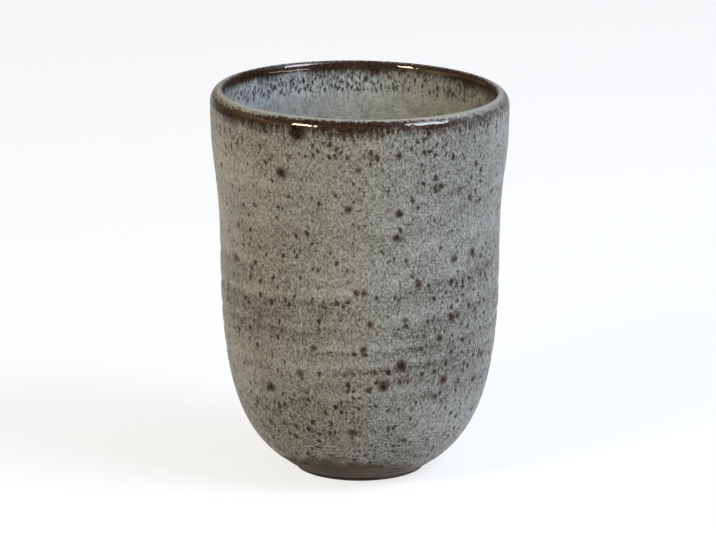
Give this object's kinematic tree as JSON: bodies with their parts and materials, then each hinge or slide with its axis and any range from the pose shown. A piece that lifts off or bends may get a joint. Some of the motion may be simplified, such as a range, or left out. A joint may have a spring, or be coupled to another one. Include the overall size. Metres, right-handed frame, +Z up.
{
  "type": "yunomi tea cup",
  "caption": "Handleless stoneware tea cup: a tall flared wall on a rounded bowl, open at the top, with a rounded brown lip, speckled grey glaze and a low bare foot ring to rest on.",
  "frame": {"origin": "middle of the resting plane under the foot ring", "axes": "+Z up along the cup's axis, -Y towards the pictured front, +X to the right of it"},
  "size_m": [0.08, 0.08, 0.1045],
  "materials": {
    "bare_clay": "matt, unglazed, with fine turning lines",
    "foot_clay": "matt, unglazed, worn smooth where it rests",
    "speckled_glaze": "satin grey with dense dark speckle",
    "liner_glaze": "satin pale grey with fine speckle",
    "iron_rim": "glossy dark iron brown",
    "iron_spot": "semi gloss reddish brown"
  },
  "bodies": {
    "root": {"clay_body": "bare_clay", "foot_ring": "foot_clay", "outer_glaze": "speckled_glaze", "inner_glaze": "liner_glaze", "rim_glaze": "iron_rim", "iron_spots": "iron_spot"}
  },
  "joints": []
}
